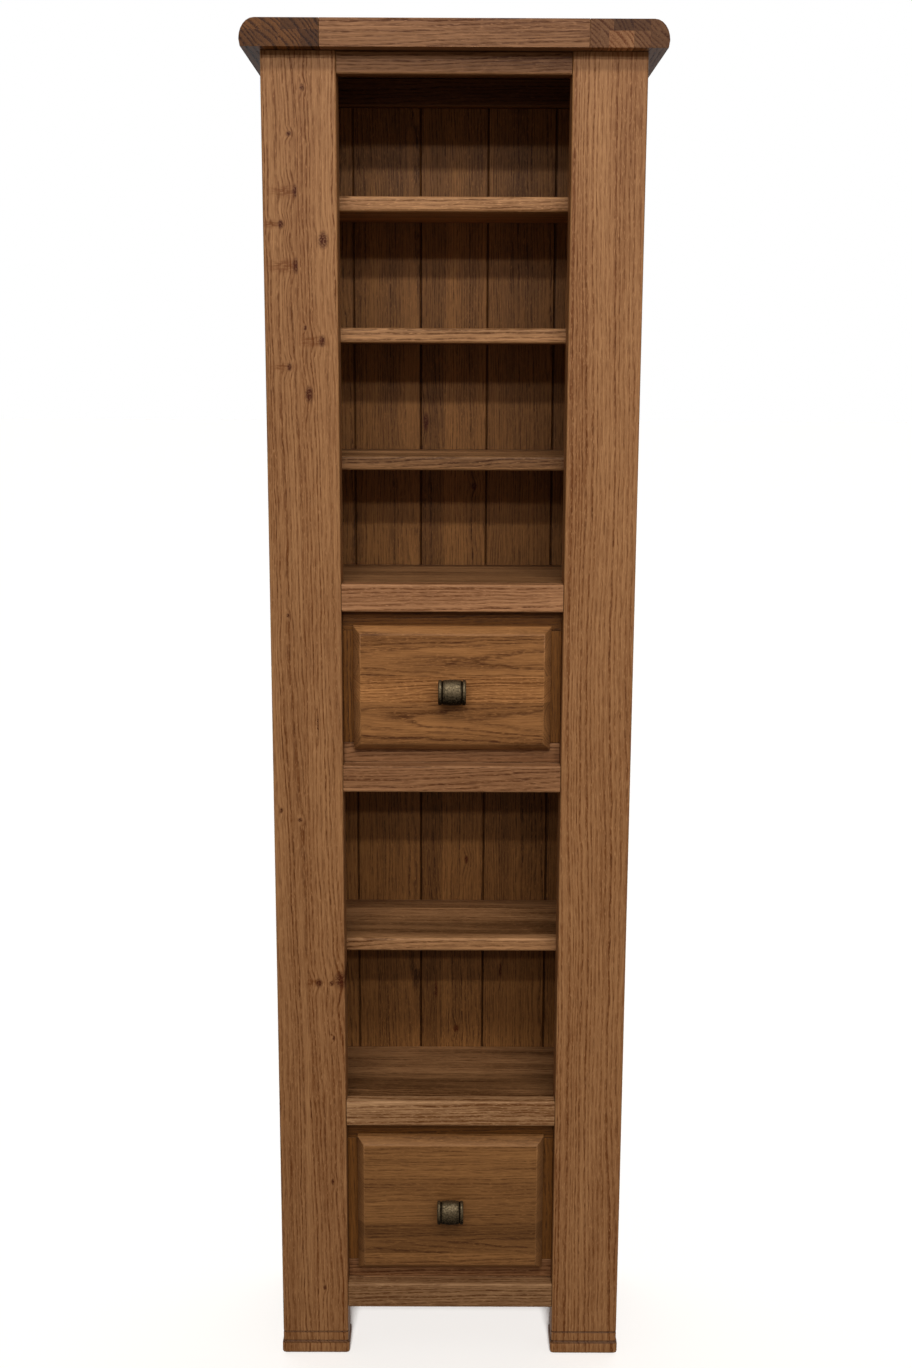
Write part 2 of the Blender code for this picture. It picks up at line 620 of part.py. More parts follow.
def build_knob(name, centre, walls, pewter, steel, drawer):
    """A barrel on a short neck, and the bolt that holds it through the walls of the drawer."""
    out = KNOB_PROJECTION - KNOB_DEPTH / 2
    barrel = turned(knob_profile(), KNOB_STEPS)
    bmesh.ops.scale(barrel, verts=barrel.verts, vec=(1, KNOB_DEPTH / KNOB_HEIGHT, 1))
    middle = (0, FRONT_FACE - out, centre)
    knob = add_piece(name + "_knob", barrel, pewter, drawer, middle, (0, math.pi / 2, 0))
    forward = (math.pi / 2, 0, 0)
    neck_base = (0, FRONT_FACE - CLEARANCE, centre)
    neck = [(0, 0), (KNOB_NECK_RADIUS, 0), (KNOB_NECK_RADIUS, out), (0, out)]
    neck = add_piece(name + "_knob_neck", turned(neck, BOLT_STEPS), pewter, drawer, neck_base, forward)
    combine(knob, neck, "UNION")
    seat = FRONT_BACK + CLEARANCE + BOX_WALL
    shank = seat - FRONT_FACE + BOLT_GRIP
    hole_radius = BOLT_RADIUS + CLEARANCE
    hole_length = BOLT_HEAD_HEIGHT + shank + CLEARANCE
    hole = [(0, 0), (hole_radius, 0), (hole_radius, hole_length), (0, hole_length)]
    hole_base = (0, seat + BOLT_HEAD_HEIGHT, centre)
    hole = add_piece(name + "_bolt_hole", turned(hole, BOLT_STEPS), steel, drawer, hole_base, forward)
    for piece in (knob, *walls):
        combine(piece, hole, "DIFFERENCE")
    smooth(knob)
    bolt = [(0, 0), (BOLT_HEAD_RADIUS, 0), (BOLT_HEAD_RADIUS, BOLT_HEAD_HEIGHT)]
    bolt += [(BOLT_RADIUS, BOLT_HEAD_HEIGHT), (BOLT_RADIUS, BOLT_HEAD_HEIGHT + shank)]
    bolt.append((0, BOLT_HEAD_HEIGHT + shank))
    bolt_base = (0, seat + BOLT_HEAD_HEIGHT + CLEARANCE, centre)
    smooth(add_piece(name + "_knob_bolt", turned(bolt, BOLT_STEPS), steel, drawer, bolt_base, forward))


def build_drawer(name, low, high, floor_low, woods, metals, rack):
    """One drawer with its opening's frame and runners; it slides forward with its empty."""
    frame_oak, front_oak, box_oak = woods
    pewter, steel = metals
    build_border(name, low, high, low, floor_low, frame_oak, rack)
    opening_low = low + BORDER_SHOWN_END + FRONT_LAP
    opening_high = high - BORDER_SHOWN_END - FRONT_LAP
    box_low = opening_low + BOX_HEIGHT_GAP
    box_high = opening_high - BOX_HEIGHT_GAP
    build_runners(name, low, box_low, box_oak, rack)
    drawer = make_empty(name, (0, 0, low), rack)
    front_height = high - low - 2 * BORDER_SHOWN_END
    centre = (high - low) / 2
    front = build_front(name, front_height, centre, front_oak, drawer)
    box_front = build_box(name, box_low - low, box_high - low, box_oak, drawer)
    build_knob(name, centre, (front, box_front), pewter, steel, drawer)


def main():
    for old in list(bpy.data.objects):
        bpy.data.objects.remove(old, do_unlink=True)
    frame_oak = make_material("oak, stained", "8a6040", 0.45)
    shelf_oak = make_material("oak, shelves", "7e573a", 0.45)
    back_oak = make_material("oak, back boards", "76502f", 0.5)
    front_oak = make_material("oak, drawer fronts", "8c5f3a", 0.42)
    box_oak = make_material("oak, drawer boxes", "a98a63", 0.6)
    pewter = make_material("aged pewter", "6f675a", 0.38, 1.0)
    steel = make_material("plated steel", "b4b4b0", 0.3, 1.0)
    rack = make_empty("rack", (0, RACK_SHIFT, 0))
    build_top(frame_oak, rack)
    posts = build_posts(frame_oak, rack)
    build_rails(posts, frame_oak, rack)
    build_sides(frame_oak, rack)
    build_shelves(shelf_oak, rack)
    build_back(back_oak, rack)
    woods = (frame_oak, front_oak, box_oak)
    metals = (pewter, steel)
    build_drawer("upper_drawer", UPPER_DRAWER_LOW, UPPER_DRAWER_HIGH, SHORT_BAYS_LOW - BOARD_THICKNESS,
                 woods, metals, rack)
    build_drawer("lower_drawer", LOWER_DRAWER_LOW, LOWER_DRAWER_HIGH, TALL_FLOOR_TOP - BOARD_THICKNESS,
                 woods, metals, rack)


main()
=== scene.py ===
# %% [markdown]
# # A tall oak rack for discs
# The imported CAD model is the skeleton of this scene: it says where every board is and how the two drawers
# slide. It could be traced again from the photograph, but then the pieces would not fit each other. So the
# script loads it first, and shapes and places the dressed pieces from its parts. The dressed rack has to
# stay inside that box.

# %% Load the frame
import math
import random

import bmesh
import bpy
from mathutils import Euler, Matrix, Vector, noise


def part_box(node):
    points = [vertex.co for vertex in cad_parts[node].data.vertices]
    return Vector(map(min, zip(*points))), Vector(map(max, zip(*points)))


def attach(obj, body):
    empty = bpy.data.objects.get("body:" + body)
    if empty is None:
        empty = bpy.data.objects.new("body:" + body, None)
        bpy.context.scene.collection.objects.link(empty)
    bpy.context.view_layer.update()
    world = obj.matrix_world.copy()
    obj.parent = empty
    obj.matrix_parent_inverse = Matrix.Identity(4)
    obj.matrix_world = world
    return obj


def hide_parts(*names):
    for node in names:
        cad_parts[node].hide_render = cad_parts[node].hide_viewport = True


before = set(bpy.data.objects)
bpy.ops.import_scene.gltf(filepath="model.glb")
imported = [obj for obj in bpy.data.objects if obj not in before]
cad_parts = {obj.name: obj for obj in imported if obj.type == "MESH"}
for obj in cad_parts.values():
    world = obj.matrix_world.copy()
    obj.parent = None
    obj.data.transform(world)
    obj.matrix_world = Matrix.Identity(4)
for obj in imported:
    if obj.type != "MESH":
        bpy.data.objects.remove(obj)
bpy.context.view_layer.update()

scene = bpy.context.scene

# %% [markdown]
# ## Camera
# The photograph was taken from a little over two metres away, at about three quarters of the rack's height
# and looking down by some eleven degrees, so the posts lean together towards the floor. A shifted lens would
# keep them upright, so the camera is tilted instead and its turn is built up from three plain angles.

# %% Camera at the photograph's angle
CAMERA_PLACE = Vector((0.0009, -2.3000, 1.4704))
CAMERA_TURN = math.radians(0.117)
CAMERA_DIP = math.radians(11.259)
CAMERA_ROLL = math.radians(0.226)
LENS_MM = 42.46
SENSOR_MM = 36.0

camera_data = bpy.data.cameras.new("camera")
camera_data.lens = LENS_MM
camera_data.sensor_width = SENSOR_MM
camera = bpy.data.objects.new("camera", camera_data)
camera_turns = (
    Matrix.Rotation(-CAMERA_TURN, 4, "Z")
    @ Matrix.Rotation(math.pi / 2 - CAMERA_DIP, 4, "X")
    @ Matrix.Rotation(CAMERA_ROLL, 4, "Z")
)
camera.matrix_world = Matrix.Translation(CAMERA_PLACE) @ camera_turns
scene.collection.objects.link(camera)
scene.camera = camera
scene.view_settings.view_transform = "Standard"
print("camera stands", round(CAMERA_PLACE.length, 2), "m from the rack's foot")

# %% [markdown]
# ## Shader helpers
# Every finish below is a small network of nodes. Wiring them one by one in full takes many lines, so one
# helper adds a node, sets what is given as a number and links what is given as a socket. Colours are written
# as the sRGB hex values that a colour picker shows, and one function turns them into the linear values of
# the shader. Sockets that share a name are given by number. In a MapRange node 0 is the value, 1 and 2 are
# the range it comes from, and 3 and 4 the range it goes to. In a Mix node 0 is the share, and 6 and 7 are the
# two colours. A noise lies mostly between 0.3 and 0.7, so that is where the ranges it comes from lie: a wide
# one gives a slow change, and a narrow one gives crisp marks.

# %% Colours and nodes
def linear(hex_text):
    """The linear colour of an sRGB hex value such as #9a6941."""
    shares = [int(hex_text[start:start + 2], 16) / 255 for start in (1, 3, 5)]
    bent = [share / 12.92 if share <= 0.04045 else ((share + 0.055) / 1.055) ** 2.4 for share in shares]
    return (*bent, 1.0)


def add_node(tree, kind, sockets=None, out=0, **settings):
    """Adds a node with its settings, fills or links its sockets, and returns one of its outputs, if any."""
    node = tree.nodes.new("ShaderNode" + kind)
    for name, value in settings.items():
        setattr(node, name, value)
    for name, value in (sockets or {}).items():
        if isinstance(value, bpy.types.NodeSocket):
            tree.links.new(value, node.inputs[name])
        else:
            node.inputs[name].default_value = value
    return node.outputs[out] if node.outputs else node


print("helpers ready, mid oak is", [round(value, 3) for value in linear("#9a6941")])

# %% [markdown]
# ## Floor and light
# The rack stands before a white sweep. A real sweep is lit by its own lamps, so here a sun that shines on the
# floor alone keeps it evenly pale, and the rack gets its own light: two wide and thin strip lamps, high up
# and in front, which give the two soft shadow steps on the back boards of each bay. A third strip stands
# steeper and lays the shadow under the top. The world is bright behind the rack and dim in front, as in a
# studio where only the sweep is lit.

# %% Floor
FLOOR_HALF = 40.0
PAPER = linear("#f4f3f1")
PAPER_ROUGHNESS = 0.9

floor_bm = bmesh.new()
bmesh.ops.create_grid(floor_bm, x_segments=1, y_segments=1, size=FLOOR_HALF)
floor_mesh = bpy.data.meshes.new("floor")
floor_bm.to_mesh(floor_mesh)
floor_bm.free()
floor = bpy.data.objects.new("floor", floor_mesh)
floor.visible_diffuse = False
floor.visible_glossy = False
scene.collection.objects.link(floor)

paper = bpy.data.materials.new("white paper sweep")
paper.use_nodes = True
paper.node_tree.nodes["Principled BSDF"].inputs["Base Color"].default_value = PAPER
paper.node_tree.nodes["Principled BSDF"].inputs["Roughness"].default_value = PAPER_ROUGHNESS
floor_mesh.materials.append(paper)
print("floor", 2 * FLOOR_HALF, "m wide")

# %% Lamps
def add_lamp(name, kind, place, way, power):
    """A lamp at a place that shines in a given way."""
    data = bpy.data.lights.new(name, kind)
    data.energy = power
    lamp = bpy.data.objects.new(name, data)
    lamp.location = place
    lamp.rotation_euler = Vector(way).to_track_quat("-Z", "Y").to_euler()
    scene.collection.objects.link(lamp)
    return lamp


LEVEL_WAY = (0.0, 1.0, 0.0)
STEEP_WAY = (0.0, 6.0, -6.4)
STRIP_SPREAD = math.radians(116)
# Each strip's place, the way it shines, its width and height in metres, and its power in watts
STRIPS = {
    "near strip": ((0.8, -4.96, 3.93), LEVEL_WAY, 6.2, 0.20, 66.0),
    "far strip": ((1.1, -6.94, 3.76), LEVEL_WAY, 8.6, 0.25, 54.0),
    "steep strip": ((0.3, -6.00, 7.80), STEEP_WAY, 6.0, 1.0, 116.0),
}
SUN_PLACE = (0.0, -3.0, 1.7)
SUN_WAY = (0.0, 3.0, -1.7)
SUN_POWER = 5.5
SUN_ANGLE = math.radians(12)

strips = []
for name, (place, way, width, height, power) in STRIPS.items():
    strip = add_lamp(name, "AREA", place, way, power)
    strip.data.shape = "RECTANGLE"
    strip.data.size = width
    strip.data.size_y = height
    strip.data.spread = STRIP_SPREAD
    strips.append(strip)
floor_sun = add_lamp("floor sun", "SUN", SUN_PLACE, SUN_WAY, SUN_POWER)
floor_sun.data.angle = SUN_ANGLE

floor_only = bpy.data.collections.new("lit by the floor sun")
floor_only.objects.link(floor)
floor_sun.light_linking.receiver_collection = floor_only
left_out = bpy.data.collections.new("left out by the strips")
left_out.objects.link(floor)
left_out.collection_objects[0].light_linking.link_state = "EXCLUDE"
for strip in strips:
    strip.light_linking.receiver_collection = left_out
print("lamps:", [strip.name for strip in strips], floor_sun.name)

# %% World
SWEEP_GLOW = 0.55
ROOM_GLOW = 0.20
SEEN_GLOW = 1.0
# How far back a direction points where the dim room ends and where the full glow of the sweep begins
ROOM_END = -0.1
SWEEP_START = 0.5
WHITE = linear("#ffffff")
WARM_WHITE = linear("#fff0df")

world = bpy.data.worlds.new("studio")
scene.world = world
world.use_nodes = True
sky = world.node_tree
sky.nodes.clear()
way = add_node(sky, "TexCoord", out="Generated")
way_back = add_node(sky, "SeparateXYZ", {0: way}, out="Y")
behind = add_node(sky, "MapRange", {0: way_back, 1: ROOM_END, 2: SWEEP_START},
                  interpolation_type="SMOOTHSTEP")
tint = add_node(sky, "Mix", {0: behind, 6: WARM_WHITE, 7: WHITE}, out=2, data_type="RGBA")
glow = add_node(sky, "MapRange", {0: behind, 3: ROOM_GLOW, 4: SWEEP_GLOW})
lighting = add_node(sky, "Background", {"Color": tint, "Strength": glow})
backdrop = add_node(sky, "Background", {"Color": WHITE, "Strength": SEEN_GLOW})
seen = add_node(sky, "LightPath", out="Is Camera Ray")
both = add_node(sky, "MixShader", {0: seen, 1: lighting, 2: backdrop})
add_node(sky, "OutputWorld", {"Surface": both})
print("world glows", SWEEP_GLOW, "behind and", ROOM_GLOW, "in front")

# %% [markdown]
# ## Oak
# The rack is solid oak, planed, stained a warm brown and waxed. On the real wood the pattern comes from the
# tree: yearly rings round the pith, a band of open pores at the start of each ring that drinks more stain,
# and knots that the rings flow round. A flat picture of wood would not turn the corner of a board, so each
# board is placed in a log of its own instead: distance from the pith gives the rings, and end grain comes by
# itself.

# %% A place in the log
GRAIN_TURN = {
    "x": (0.0, 0.0, math.radians(1.3)),
    "y": (0.0, 0.0, math.radians(-90)),
    "z": (0.0, math.radians(90), math.radians(0.9)),
}
# The slow bends and the small ripples of a grown tree: length, width and how far they sway, in metres
SWAYS = ((0.45, 0.10, 0.014), (0.05, 0.02, 0.0030))
NOISE_MIDDLE = (0.5, 0.5, 0.5)


def streaks(tree, place, length, width, detail=2.0, out="Fac"):
    """A noise drawn out along the grain: streaks of about that length and width in metres."""
    stretch = add_node(tree, "Mapping", {"Vector": place, "Scale": (1 / length, 1 / width, 1 / width)})
    return add_node(tree, "TexNoise", {"Vector": stretch, "Scale": 1.0, "Detail": detail}, out=out)


def place_in_log(tree, place, grain):
    """Where a point of a board lies in its log, with X along the grain."""
    log = add_node(tree, "Attribute", out="Vector", attribute_name="log")
    turned = add_node(tree, "Mapping", {"Vector": place, "Rotation": GRAIN_TURN[grain]})
    grown = add_node(tree, "VectorMath", {0: turned, 1: log}, operation="ADD")
    for length, width, amount in SWAYS:
        sway = streaks(tree, grown, length, width, 1.0, "Color")
        sway = add_node(tree, "VectorMath", {0: sway, 1: NOISE_MIDDLE}, operation="SUBTRACT")
        sway = add_node(tree, "VectorMath", {0: sway, 1: (0, amount, amount)}, operation="MULTIPLY")
        grown = add_node(tree, "VectorMath", {0: grown, 1: sway}, operation="ADD")
    return grown


print("the grain sways by", [1000 * amount for length, width, amount in SWAYS], "mm")

# %% Rings and pores
RING_WIDTH = 0.0034
UNEVEN_RINGS = 1.2
UNEVEN_RATE = 0.4
LEAN_YEAR = 0.25
LINE_START = 0.15
LINE_END = 0.70
BEAD_SIZE = (0.010, 0.003)
BEAD_GAP = 0.4
PORE_SIZE = (0.022, 0.0013)


def spring_wood(tree, grown, ring_width, lift=0.0):
    """How much a point has of the dark and porous wood that starts each ring.

    Rings are uneven, good years have a strong line and lean years a faint one, and beads break the line up.
    """
    across = add_node(tree, "VectorMath", {0: grown, 1: (0, 1, 1)}, operation="MULTIPLY")
    radius = add_node(tree, "VectorMath", {0: across}, out="Value", operation="LENGTH")
    radius = add_node(tree, "Math", {0: radius, 1: lift}, operation="ADD")
    ring = add_node(tree, "Math", {0: radius, 1: ring_width}, operation="DIVIDE")
    uneven = add_node(tree, "TexNoise", {"W": ring, "Scale": UNEVEN_RATE, "Detail": 0.0},
                      noise_dimensions="1D")
    ring = add_node(tree, "Math", {0: uneven, 1: UNEVEN_RINGS, 2: ring}, operation="MULTIPLY_ADD")
    season = add_node(tree, "Math", {0: ring}, operation="FRACT")
    year = add_node(tree, "Math", {0: ring}, operation="FLOOR")
    vigour = add_node(tree, "TexWhiteNoise", {"W": year}, noise_dimensions="1D")
    vigour = add_node(tree, "MapRange", {0: vigour, 3: LEAN_YEAR, 4: 1.0})
    starting = add_node(tree, "MapRange", {0: season, 1: 0.0, 2: LINE_START})
    beads = streaks(tree, grown, *BEAD_SIZE, 1.0)
    beads = add_node(tree, "MapRange", {0: beads, 1: 0.35, 2: 0.6, 3: BEAD_GAP, 4: 1.0})
    spring = add_node(tree, "MapRange", {0: season, 1: LINE_START, 2: LINE_END, 3: 1.0, 4: 0.0},
                      interpolation_type="SMOOTHSTEP")
    for share in (starting, vigour, beads):
        spring = add_node(tree, "Math", {0: spring, 1: share}, operation="MULTIPLY")
    return spring


def open_pores(tree, grown, spring, flecks):
    """Short dark strokes in the spring wood, and a share of flecks between its lines.

    Real pores are 0.3 mm wide. They are drawn coarser here so that they show.
    """
    strokes = streaks(tree, grown, *PORE_SIZE, 1.0)
    strokes = add_node(tree, "MapRange", {0: strokes, 1: 0.50, 2: 0.62})
    open_share = add_node(tree, "MapRange", {0: spring, 3: flecks, 4: 1.0})
    return add_node(tree, "Math", {0: strokes, 1: open_share}, operation="MULTIPLY")


print("rings are drawn about", 1000 * RING_WIDTH, "mm apart")

# %% Knots
KNOT_LIFT = 0.003
KNOT_REACH = 4.0
KNOT_RAG = 0.0022
KNOT_RAG_SIZE = 0.005
TAIL_STRETCH = 2.3
TAIL_SHIFT = 1.3
TAIL_STAIN = 0.9
FEATHER_SIZE = (0.009, 0.009, 0.0022)
FEATHER_GAP = 0.25
HEART_WIDTH = 0.5
HEART_SHIFT = 0.4
BLOTCH_SIZE = 0.0025
BLOTCH_GAP = 0.5
KNOT_COLOUR = linear("#4c1b00")
KNOT_TAIL_COLOUR = linear("#6e3402")


def knot_distance(tree, place, knots, stretch=1.0, shift=0.0):
    """Distance to the nearest knot, in knot sizes. A knot is given by x, z, its half width and half height.

    A stretched and shifted knot is the tail that a side branch leaves beside its knot.
    """
    ragged = add_node(tree, "TexNoise", {"Vector": place, "Scale": 1 / KNOT_RAG_SIZE, "Detail": 2.0},
                      out="Color")
    ragged = add_node(tree, "VectorMath", {0: ragged, 1: (KNOT_RAG,) * 3, 2: (-KNOT_RAG / 2,) * 3},
                      operation="MULTIPLY_ADD")
    place = add_node(tree, "VectorMath", {0: place, 1: ragged}, operation="ADD")
    nearest = None
    for x, z, half_width, half_height in knots:
        spot = add_node(tree, "Mapping", {"Vector": place, "Location": (x - shift * half_width, 0.0, z),
                                          "Scale": (stretch * half_width, 1.0, half_height)},
                        vector_type="TEXTURE")
        away = add_node(tree, "VectorMath", {0: spot}, out="Value", operation="LENGTH")
        if nearest is None:
            nearest = away
        else:
            nearest = add_node(tree, "Math", {0: nearest, 1: away}, operation="MINIMUM")
    return nearest


def stain_knots(tree, place, knots, colour):
    """Lays the feathered tails and then the dark hearts of the knots over the colour of the wood.

    A knot that is wider than high is a branch cut along its length. Its heart is narrow and at its right
    end, and only such a knot has a tail.
    """
    upright = [spot for spot in knots if spot[2] <= spot[3]]
    tailed = [spot for spot in knots if spot[2] > spot[3]]
    narrow = [(x + HEART_SHIFT * half_width, z, HEART_WIDTH * half_width, half_height)
              for x, z, half_width, half_height in tailed]
    if tailed:
        tail = knot_distance(tree, place, tailed, TAIL_STRETCH, TAIL_SHIFT)
        tail = add_node(tree, "MapRange", {0: tail, 1: 0.0, 2: 1.3, 3: TAIL_STAIN, 4: 0.0})
        feather = add_node(tree, "Mapping", {"Vector": place, "Scale": FEATHER_SIZE}, vector_type="TEXTURE")
        feather = add_node(tree, "TexNoise", {"Vector": feather, "Scale": 1.0, "Detail": 1.0})
        feather = add_node(tree, "MapRange", {0: feather, 1: 0.40, 2: 0.58, 3: FEATHER_GAP, 4: 1.0})
        tail = add_node(tree, "Math", {0: tail, 1: feather}, operation="MULTIPLY")
        colour = add_node(tree, "Mix", {0: tail, 6: colour, 7: KNOT_TAIL_COLOUR}, out=2, data_type="RGBA")
    blotch = add_node(tree, "TexNoise", {"Vector": place, "Scale": 1 / BLOTCH_SIZE, "Detail": 1.0})
    blotch = add_node(tree, "MapRange", {0: blotch, 1: 0.35, 2: 0.55, 3: BLOTCH_GAP, 4: 1.0})
    heart = knot_distance(tree, place, upright + narrow)
    heart = add_node(tree, "MapRange", {0: heart, 1: 0.6, 2: 1.4, 3: 1.0, 4: 0.0})
    heart = add_node(tree, "Math", {0: heart, 1: blotch}, operation="MULTIPLY")
    return add_node(tree, "Mix", {0: heart, 6: colour, 7: KNOT_COLOUR}, out=2, data_type="RGBA")


print("rings rise by", 1000 * KNOT_LIFT, "mm to a knot")

# %% Oak finish
OAK_IOR = 1.5
OAK_GLOSS = 0.2
TONE_SIZE = (0.50, 0.030)
TONE_MIDDLE = 0.175
FIBRE_SIZE = (0.04, 0.0013)
FIBRE_STAIN = 0.45
RAY_SIZE = (0.007, 0.0011)
RAY_SHARE = 0.6
PORE_STAIN = 0.65
PORE_DULLNESS = 0.25
END_STAIN = 0.45
STAIN_TINT = (1.0, 1.08, 1.2)
WEAR_COLOUR = linear("#b88a5c")
# Relief: how far the spring wood and the pores lie below the fibres, and what the relief comes to in metres
SPRING_SINK = -0.3
PORE_SINK = -0.8
RELIEF_STRENGTH = 0.35
RELIEF_DEPTH = 0.0006


def oak(name, grain, light, dark, pore="#4c2309", knots=(), roughness=0.50, ring_width=RING_WIDTH,
        flecks=0.15, lines=0.65, drift=0.35):
    """Stained and waxed oak with its grain along one axis: soft sheen, dull in the open pores.

    The lines of the spring wood and the slow drift of tone across the board each have a weight.
    """
    light, dark, pore = linear(light), linear(dark), linear(pore)
    material = bpy.data.materials.new(name)
    material.use_nodes = True
    tree = material.node_tree
    tree.nodes.clear()
    place = add_node(tree, "TexCoord", out="Object")
    grown = place_in_log(tree, place, grain)

    # Near a knot the rings rise, so that they close round it
    lift = 0.0
    if knots:
        knot = knot_distance(tree, place, knots)
        lift = add_node(tree, "MapRange", {0: knot, 1: 0.0, 2: KNOT_REACH, 3: KNOT_LIFT, 4: 0.0},
                        interpolation_type="SMOOTHSTEP")
    spring = spring_wood(tree, grown, ring_width, lift)
    pores = open_pores(tree, grown, spring, flecks)

    # Colour: slow change of tone, fine fibre, darker spring wood, and the pale flecks of the rays
    tone = streaks(tree, grown, *TONE_SIZE)
    fibre = streaks(tree, grown, *FIBRE_SIZE)
    depth = add_node(tree, "MapRange", {0: fibre, 1: 0.3, 2: 0.7, 3: 0.0, 4: FIBRE_STAIN})
    slow = add_node(tree, "MapRange", {0: tone, 1: 0.3, 2: 0.7, 3: TONE_MIDDLE - drift / 2,
                                       4: TONE_MIDDLE + drift / 2})
    depth = add_node(tree, "Math", {0: depth, 1: slow}, operation="ADD")
    depth = add_node(tree, "Math", {0: spring, 1: lines, 2: depth}, operation="MULTIPLY_ADD", use_clamp=True)
    colour = add_node(tree, "Mix", {0: depth, 6: light, 7: dark}, out=2, data_type="RGBA")
    rays = streaks(tree, grown, *RAY_SIZE, 1.0)
    rays = add_node(tree, "MapRange", {0: rays, 1: 0.58, 2: 0.70, 3: 0.0, 4: RAY_SHARE})
    colour = add_node(tree, "Mix", {0: rays, 6: colour, 7: light}, out=2, data_type="RGBA")
    pore_share = add_node(tree, "Math", {0: pores, 1: PORE_STAIN}, operation="MULTIPLY")
    colour = add_node(tree, "Mix", {0: pore_share, 6: colour, 7: pore}, out=2, data_type="RGBA")

    # End grain drinks more stain
    facing = add_node(tree, "TexCoord", out="Normal")
    end = add_node(tree, "SeparateXYZ", {0: facing}, out=grain.upper())
    end = add_node(tree, "Math", {0: end}, operation="ABSOLUTE")
    end = add_node(tree, "MapRange", {0: end, 1: 0.5, 2: 0.9, 3: 0.0, 4: END_STAIN})
    colour = add_node(tree, "Mix", {0: end, 6: colour, 7: pore}, out=2, data_type="RGBA")
    if knots:
        colour = stain_knots(tree, place, knots, colour)

    # Each stave has a shade of its own: a dark one holds more stain, and the stain takes blue the most. The
    # shade
    #     # also carries painted shade on the drawer borders, the back top rail and in part the top rail, and
    #     painted
    #     # light on the drawer fronts' bevels
    shade = add_node(tree, "Attribute", out="Fac", attribute_name="shade")
    stain = add_node(tree, "VectorMath", {0: STAIN_TINT, "Scale": shade}, operation="SCALE")
    stain = add_node(tree, "VectorMath", {0: stain, 1: (1, 1, 1)}, operation="ADD")
    colour = add_node(tree, "VectorMath", {0: colour, 1: stain}, operation="MULTIPLY")

    # The handled edges have worn paler
    wear = add_node(tree, "Attribute", out="Fac", attribute_name="wear")
    wear = add_node(tree, "Math", {0: wear, 1: fibre}, operation="MULTIPLY")
    colour = add_node(tree, "Mix", {0: wear, 6: colour, 7: WEAR_COLOUR}, out=2, data_type="RGBA")

    dull = add_node(tree, "MapRange", {0: pores, 3: roughness, 4: roughness + PORE_DULLNESS})
    height = add_node(tree, "Math", {0: spring, 1: SPRING_SINK, 2: fibre}, operation="MULTIPLY_ADD")
    height = add_node(tree, "Math", {0: pores, 1: PORE_SINK, 2: height}, operation="MULTIPLY_ADD")
    bump = add_node(tree, "Bump", {"Height": height, "Strength": RELIEF_STRENGTH, "Distance": RELIEF_DEPTH})
    surface = add_node(tree, "BsdfPrincipled", {"Base Color": colour, "Roughness": dull, "Normal": bump,
                                                "IOR": OAK_IOR, "Specular IOR Level": OAK_GLOSS})
    add_node(tree, "OutputMaterial", {"Surface": surface})
    return material


print("oak shines", OAK_GLOSS, "of the usual gloss")

# %% Oaks of the rack
LIGHT_OAK = "#c28e5e"
DARK_OAK = "#76431c"
# Knots by x, z, half width and half height in metres
OUTER_STAVE_KNOTS = (
    (-0.215, 1.762, 0.003, 0.003),
    (-0.210, 1.690, 0.009, 0.008),
    (-0.230, 1.648, 0.007, 0.005),
    (-0.211, 1.595, 0.010, 0.009),
    (-0.221, 1.464, 0.006, 0.005),
    (-0.226, 1.128, 0.002, 0.003),
    (-0.214, 0.836, 0.003, 0.003),
    (-0.240, 0.850, 0.002, 0.004),
)
INNER_STAVE_KNOTS = (
    (-0.197, 1.819, 0.003, 0.004),
    (-0.172, 1.628, 0.006, 0.010),
    (-0.197, 1.515, 0.002, 0.003),
    (-0.178, 1.498, 0.008, 0.007),
    (-0.193, 1.428, 0.005, 0.010),
    (-0.187, 0.974, 0.001, 0.014),
    (-0.157, 0.597, 0.010, 0.012),
    (-0.172, 0.592, 0.003, 0.004),
    (-0.194, 0.593, 0.009, 0.006),
    (-0.170, 0.508, 0.002, 0.003),
    (-0.174, 0.281, 0.002, 0.005),
    (-0.188, 0.109, 0.002, 0.004),
)
BACK_KNOTS = (
    (-0.040, 1.384, 0.004, 0.012),
    (0.032, 1.290, 0.004, 0.005),
    (0.023, 0.709, 0.003, 0.006),
    (0.008, 0.428, 0.004, 0.006),
    (-0.024, 0.493, 0.002, 0.014),
    (0.078, 0.527, 0.002, 0.012),
)
# Ring widths in metres of the trees that grew faster or slower than the others
CLEAT_RINGS = 0.0060
UPRIGHT_RINGS = 0.0048
BACK_RINGS = 0.0030

upright_oak = oak("waxed oak upright", "z", LIGHT_OAK, DARK_OAK, ring_width=UPRIGHT_RINGS, lines=0.75)
knotty_oaks = [oak("knotty oak " + place, "z", LIGHT_OAK, DARK_OAK, knots=knots, lines=0.8)
               for place, knots in (("outer stave", OUTER_STAVE_KNOTS), ("inner stave", INNER_STAVE_KNOTS))]
level_oak = oak("waxed oak level", "x", "#c69064", "#704220", flecks=0.3, lines=0.85, drift=0.6)
grey_oak = oak("grey oak level", "x", "#c6996d", "#704623", flecks=0.3, lines=0.85, drift=0.6)
cleat_oaks = {
    "left": oak("brown oak cleat", "y", "#945e2a", "#341803", "#3a1c06", ring_width=CLEAT_RINGS, lines=1.2),
    "right": oak("pale oak cleat", "y", LIGHT_OAK, DARK_OAK, ring_width=CLEAT_RINGS, lines=1.2),
}
# Darker oak for the drawer borders: painted shade of the recess they sit in
border_woods_with_painted_shade = {axis: oak("shaded oak border " + axis, axis, "#8a5724", "#4a290d", "#2c190a") for axis in "xz"}
shelf_oak = oak("waxed oak shelf", "x", "#ba885b", "#5a3616", flecks=0.3, lines=0.85, drift=0.9)
